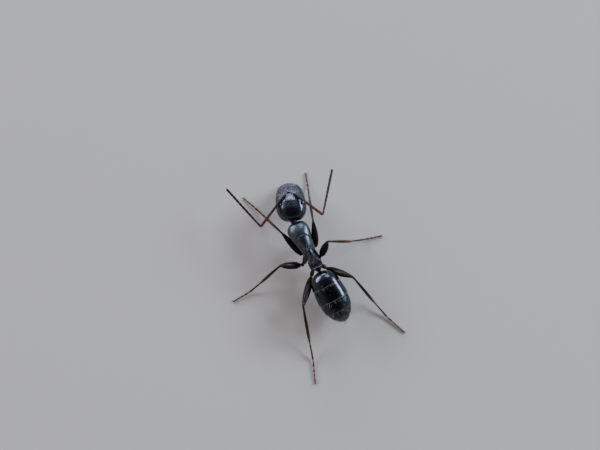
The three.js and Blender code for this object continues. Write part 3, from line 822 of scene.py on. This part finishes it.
# ---- Feelers ----
# Each antenna is a long scape, set in its socket by a ball on a thin neck, and a whip of eleven
# joints. The scape is black-brown and reddens towards the elbow; the whip is duller and browner.
feeler_brown = chitin("feeler_chitin", "#120c0a", "#7e3f1e", 0.4, 0.03, 3.0, gleam=0.12)
WHIP_LENGTHS = [1.15, 0.95, 0.95, 1.0, 1.0, 1.0, 1.0, 1.0, 0.95, 0.95, 1.3]  # of its joints
WHIP_JOINTS = len(WHIP_LENGTHS)
# The right feeler's extra red is painted light: it catches the light from the right, and the left one lies
# in shade.
FEELERS = {  # elbow, tip, and how much redder than the other this feeler is
    "left": (Vector((-2.35, 2.31, 2.35)), Vector((-3.43, 5.73, 1.3)), 0.0),
    "right": (Vector((1.9, 1.25, 2.85)), Vector((3.86, 3.85, 1.1)), 0.25),
}
head_from_trunk = Matrix.Translation(-TRUNK_AT) @ HEAD_AT
luck = random.Random(59)
for name, (elbow, tip, painted_light_redness) in FEELERS.items():
    side = -1 if name == "left" else 1
    turn = math.acos(SOCKET.x / eased(HEAD, SOCKET.y)[0])
    seat = head_skin(SOCKET.y, turn, -0.02)
    root = head_from_trunk @ Vector((side * SOCKET.x, SOCKET.y, seat.z))
    start = head_from_trunk @ Vector((side * (SOCKET.x + 0.03), SOCKET.y, seat.z + 0.13))
    bm = body_form()
    wrapped(bm, 20, 16, rounded(root, (0.07, 0.07, 0.07)), 0.2)
    limb(bm, root, start.lerp(elbow, 0.02), [(0, 0.045), (1, 0.05)], 0.3)
    shaft = [(0, 0.065), (0.04, 0.064), (0.1, 0.075), (0.5, 0.085), (0.85, 0.1), (0.97, 0.102), (1, 0.09)]
    # Near the elbow the right scape is redder still, painted light.
    warm = [(0, 0.02), (0.35, 0.04), (0.7, 0.28), (0.92, 0.34 + painted_light_redness), (1, 0.6)]
    skin = limb(bm, start, elbow, shaft, warm, 24, 64, bow=0.1)
    coat = planted(skin, strewn(46, luck, (0.1, 0.94)), (0.04, 0.08), 0.0045, 0.35, 1, luck, (0, 0.5))
    node = f"antenna_{name}_scape"
    finished(node, bm, feeler_brown, [node])
    bm = body_form()
    total = sum(WHIP_LENGTHS)
    reach = 0
    for joint, length in enumerate(WHIP_LENGTHS):
        ends = []
        for share in (reach / total, (reach + length) / total):
            ends.append(elbow.lerp(tip, share) + Vector((0, 0, 0.16 * math.sin(math.pi * share))))
        reach += length
        gap = (ends[1] - ends[0]).normalized() * 0.012
        last = joint == WHIP_JOINTS - 1
        thick = 0.066 + 0.02 * min(1, joint / 4)
        end_thick = thick * (0.55 if last else 0.98)
        bead = [(0, thick * 0.8), (0.2, thick * 0.94), (0.75, thick * 1.06), (1, end_thick)]
        # The whip's red tone is painted light, on the right feeler only, fading towards its tip.
        darker = 0.045 * joint
        tone = [(0, max(0.03, painted_light_redness * 1.6 - darker)), (1, max(0.02, painted_light_redness * 1.2 - darker))]
        skin = limb(bm, ends[0] - gap * 2, ends[1], bead, tone, 20, 24)
        strip = (0.5 + 0.5 * joint / WHIP_JOINTS, 0.5 + 0.5 * (joint + 1) / WHIP_JOINTS)
        coat += planted(skin, strewn(20, luck, (0.15, 0.88)), (0.025, 0.05), 0.003, 0.4, 1, luck, strip)
    node = f"antenna_{name}_funiculus"
    finished(node, bm, feeler_brown, [node])
    finished(f"antenna_{name}_hair", groomed(coat), pale_seta, [])

# ---- Legs ----
# Coxa, small red-brown trochanter, stout femur (the thigh), slim tibia with its spur, and a foot
# of five joints that ends in two claws and a pad. The cuticle is thin and orange-brown at the
# ends.
LEGS = {
    "front_left": {
        "hip": (-0.42, 0.72, 1.2),
        "trochanter": (-0.52, -0.5, 0.62),
        "thigh": (-0.62, -0.72, 0.56),
        "knee": (-1.2, 1.24, 1.47),
        "heel": (-1.83, 2.78, 0.4),
        "ball": (-2.2, 3.7, 0.1),
        "claws": (-2.62, 4.64, 0.055),
    },
    "front_right": {
        "hip": (0.3, 0.72, 1.2),
        "trochanter": (0.46, -0.4, 0.68),
        "thigh": (0.57, -0.6, 0.62),
        "knee": (1.1, 1.1, 1.95),
        "heel": (1.53, 2.58, 0.66),
        "ball": (1.79, 3.4, 0.1),
        "claws": (2.06, 4.35, 0.055),
    },
    "middle_left": {
        "hip": (-0.26, -0.76, 1.08),
        "trochanter": (-0.72, -1.33, 0.66),
        "thigh": (-0.96, -1.33, 0.62),
        "knee": (-2.29, -0.72, 1.9),
        "heel": (-3.9, -1.21, 0.47),
        "ball": (-5.05, -1.52, 0.1),
        "claws": (-6.34, -1.63, 0.055),
    },
    "middle_right": {
        "hip": (0.19, -0.76, 1.08),
        "trochanter": (0.37, -1.35, 0.7),
        "thigh": (0.6, -1.33, 0.72),
        "knee": (1.42, -0.58, 2.38),
        "heel": (2.83, -1.25, 0.82),
        "ball": (3.79, -1.55, 0.1),
        "claws": (5.02, -1.84, 0.055),
    },
    "hind_left": {
        "hip": (-0.19, -1.27, 1.06),
        "trochanter": (-0.34, -1.98, 0.68),
        "thigh": (-0.64, -2.34, 0.56),
        "knee": (-2.02, -3.95, 1.95),
        "heel": (-2.64, -6.25, 0.55),
        "ball": (-3.02, -7.75, 0.1),
        "claws": (-3.56, -9.28, 0.055),
    },
    "hind_right": {
        "hip": (0.19, -1.27, 1.06),
        "trochanter": (0.34, -1.9, 0.68),
        "thigh": (0.56, -2.26, 0.52),
        "knee": (1.98, -3.58, 2.08),
        "heel": (2.55, -5.67, 0.4),
        "ball": (2.98, -7.18, 0.1),
        "claws": (3.64, -8.68, 0.055),
    },
}
GIRTH = {  # radii of coxa, femur and tibia at their stoutest
    "front": (0.29, 0.23, 0.1),
    "middle": (0.22, 0.265, 0.105),
    "hind": (0.245, 0.25, 0.11),
}
# Where the four toe joints begin and end, as shares of the way from the ball to the claws.
TOE_ENDS = [0.0, 0.32, 0.55, 0.73, 1.0]
leg_brown = chitin("leg_chitin", "#241610", "#8a5426", 0.31, 0.04, 2.5, wear=0.04, gleam=0.1)
luck = random.Random(71)
for name, joints in LEGS.items():
    hip, trochanter, thigh, knee, heel, ball, claws = [Vector(place) for place in joints.values()]
    coxa_girth, femur_girth, tibia_girth = GIRTH[name.split("_")[0]]
    coat = []

    bm = body_form()
    cone = [
        (0, coxa_girth * 0.9),
        (0.25, coxa_girth),
        (0.6, coxa_girth * 0.86),
        (0.93, 0.155),
        (1, 0.13),
    ]
    skin = limb(bm, hip, trochanter, cone, [(0, 0.0), (0.8, 0.05), (1, 0.3)], 40, 48)
    coat += planted(skin, strewn(9, luck, (0.4, 0.85)), (0.1, 0.18), 0.007, 0.7, 1, luck, (0, 0.2))
    # The coxa takes the blacker waist chitin, which is painted shade.
    finished(f"leg_{name}_coxa", bm, waist_black_painted_shade, [f"leg_{name}_coxa"])

    bm = body_form()
    limb(bm, trochanter, thigh, [(0, 0.11), (0.5, 0.155), (1, 0.12)], 0.22, 24, 20)
    stout = [
        (0, 0.09),
        (0.1, femur_girth * 0.62),
        (0.24, femur_girth * 0.92),
        (0.4, femur_girth),
        (0.62, femur_girth * 0.93),
        (0.8, femur_girth * 0.7),
        (0.92, 0.115),
        (0.97, 0.1),
        (1, 0.085),
    ]
    tone = [(0, 0.2), (0.12, 0.04), (0.9, 0.0), (1, 0.06)]
    skin = limb(bm, thigh, knee, stout, tone, 32, 56, bow=0.04)
    coat += planted(skin, strewn(12, luck, (0.2, 0.85)), (0.08, 0.16), 0.007, 0.65, 1, luck, (0.2, 0.4))
    coat += planted(skin, strewn(50, luck, (0.15, 0.92)), (0.04, 0.07), 0.004, 0.2, 1, luck, (0.2, 0.4))
    finished(f"leg_{name}_femur", bm, leg_brown, [f"leg_{name}_femur"])

    bm = body_form()
    shank = [
        (0, 0.085),
        (0.05, 0.075),
        (0.1, 0.07),
        (0.35, tibia_girth * 0.86),
        (0.8, tibia_girth),
        (1, tibia_girth * 0.9),
    ]
    tone = [(0, 0.08), (0.15, 0.03), (0.6, 0.08), (0.85, 0.28), (1, 0.55)]
    skin = limb(bm, knee, heel, shank, tone, 28, 56, bow=0.04)
    for row in (250, 290):
        comb = [(0.35 + 0.055 * n, math.radians(row)) for n in range(10)]
        coat += planted(skin, comb, (0.09, 0.13), 0.0075, 0.4, 1, luck, (0.4, 0.7))
    coat += planted(skin, strewn(70, luck, (0.12, 0.92)), (0.04, 0.08), 0.0045, 0.3, 1, luck, (0.4, 0.7))
    walk = (ball - heel).normalized()
    beside = walk.cross(Vector((0, 0, 1))).normalized()
    spur, sides = (0.34, [1]) if "front" in name else (0.26, [-1, 1])
    for way in sides:
        root = heel - Vector((0, 0, tibia_girth * 0.5)) + beside * way * 0.05
        limb(
            bm,
            root,
            root + walk * spur + beside * way * 0.05 - Vector((0, 0, 0.03)),
            [(0, 0.022), (0.6, 0.016), (1, 0.004)],
            0.8,
            8,
            12,
            bow=-0.03,
        )
    finished(f"leg_{name}_tibia", bm, leg_brown, [f"leg_{name}_tibia"])

    bm = body_form()
    slim = [(0, 0.06), (0.06, 0.05), (0.5, 0.056), (0.95, 0.07), (1, 0.06)]
    skin = limb(bm, heel, ball, slim, [(0, 0.3), (0.1, 0.1), (0.7, 0.15), (1, 0.3)], 20, 40)
    upper = strewn(44, luck, (0.1, 0.93), (-30, 210))
    coat += planted(skin, upper, (0.05, 0.09), 0.0045, 0.3, 1, luck, (0.7, 0.85))
    lower = [(0.15 + 0.07 * n, math.radians(270)) for n in range(9)]
    coat += planted(skin, lower, (0.05, 0.07), 0.006, 0.15, 1, luck, (0.7, 0.85))
    for toe in range(4):
        start, end = [ball.lerp(claws, TOE_ENDS[toe + i]) for i in (0, 1)]
        bead = [(0, 0.032), (0.15, 0.04), (0.85, 0.062 - 0.002 * toe), (1, 0.05)]
        skin = limb(bm, start, end, bead, [(0, 0.25 + 0.12 * toe), (1, 0.35 + 0.12 * toe)], 16, 20)
        crown = fringe(6, luck, 0.85, (0, 180)) + strewn(5, luck, (0.2, 0.8), (0, 180))
        coat += planted(skin, crown, (0.04, 0.07), 0.0045, 0.35, 1, luck, (0.85, 1))
    wrapped(bm, 12, 10, rounded(claws + (claws - ball).normalized() * 0.05, (0.045, 0.045, 0.03)), 0.6)
    ahead = (claws - ball).normalized()
    beside = ahead.cross(Vector((0, 0, 1))).normalized()
    for way in (-1, 1):
        root = claws + beside * way * 0.025
        limb(
            bm,
            root,
            root + ahead * 0.1 + beside * way * 0.075 - Vector((0, 0, 0.045)),
            [(0, 0.02), (0.5, 0.014), (1, 0.003)],
            0.7,
            8,
            12,
            bow=0.03,
        )
    finished(f"leg_{name}_tarsus", bm, leg_brown, [f"leg_{name}_tarsus"])
    finished(f"leg_{name}_hair", groomed(coat), pale_seta, [])

# ---- Floor ----
# A sheet of pale, uncoated card, matt and a little warm, that lies flat under the feet.
bm = bmesh.new()
bmesh.ops.create_grid(bm, x_segments=1, y_segments=1, size=0.3)
mesh = bpy.data.meshes.new("floor")
bm.to_mesh(mesh)
bm.free()
floor = bpy.data.objects.new("floor", mesh)
bpy.context.scene.collection.objects.link(floor)
matt_card = bpy.data.materials.new("matt_card")
matt_card.use_nodes = True
shader = matt_card.node_tree.nodes["Principled BSDF"]
shader.inputs["Base Color"].default_value = linear("#e0ccb2")
shader.inputs["Roughness"].default_value = 0.85
mesh.materials.append(matt_card)

# ---- Light ----
# Four cool soft boxes stand low round the ant, as open sky does round a wall. The glow of the
# studio is darker overhead. Right and up are the camera's.
IMAGE_RIGHT = Vector((math.cos(CAMERA_TURN), -math.sin(CAMERA_TURN), 0))
IMAGE_UP = Vector((math.sin(CAMERA_TURN), math.cos(CAMERA_TURN), 0))


def softbox(name, right, up, elevation, distance, size, watts, colour):
    """A soft box that faces the ant from a direction in the picture and a height in degrees."""
    light = bpy.data.lights.new(name, "AREA")
    light.shape = "RECTANGLE"
    light.size, light.size_y = size
    light.energy = watts
    light.color = linear(colour)[:3]
    lamp = bpy.data.objects.new(name, light)
    way = (IMAGE_RIGHT * right + IMAGE_UP * up).normalized() * math.cos(math.radians(elevation))
    way.z = math.sin(math.radians(elevation))
    lamp.location = way * distance
    lamp.rotation_euler = way.to_track_quat("Z", "Y").to_euler()
    bpy.context.scene.collection.objects.link(lamp)


softbox("right_box", 1, 0.6, 20, 0.6, (0.36, 0.14), 5.8, "#b4d2ff")
softbox("front_box", -0.15, 1, 10, 0.6, (0.34, 0.08), 2.6, "#c4d2ff")
softbox("upper_box", 0.1, 1, 24, 0.6, (0.2, 0.06), 1.1, "#a8ccff")
softbox("left_box", -1, 0.8, 17, 0.7, (0.46, 0.14), 4.8, "#c8ceff")
studio = bpy.data.worlds.new("studio")
studio.use_nodes = True
tree = studio.node_tree
way_up = add(tree, "ShaderNodeTexCoord").outputs["Generated"]
height = add(tree, "ShaderNodeSeparateXYZ", {"Vector": way_up}).outputs["Z"]
glow = add(tree, "ShaderNodeValToRGB", {"Fac": height})
glow.color_ramp.elements[0].color = linear("#dce4f0")
glow.color_ramp.elements[0].position = 0.55
glow.color_ramp.elements[1].color = linear("#434a55")
glow.color_ramp.elements[1].position = 0.9
tree.links.new(glow.outputs["Color"], tree.nodes["Background"].inputs["Color"])
tree.nodes["Background"].inputs["Strength"].default_value = 0.52
bpy.context.scene.world = studio
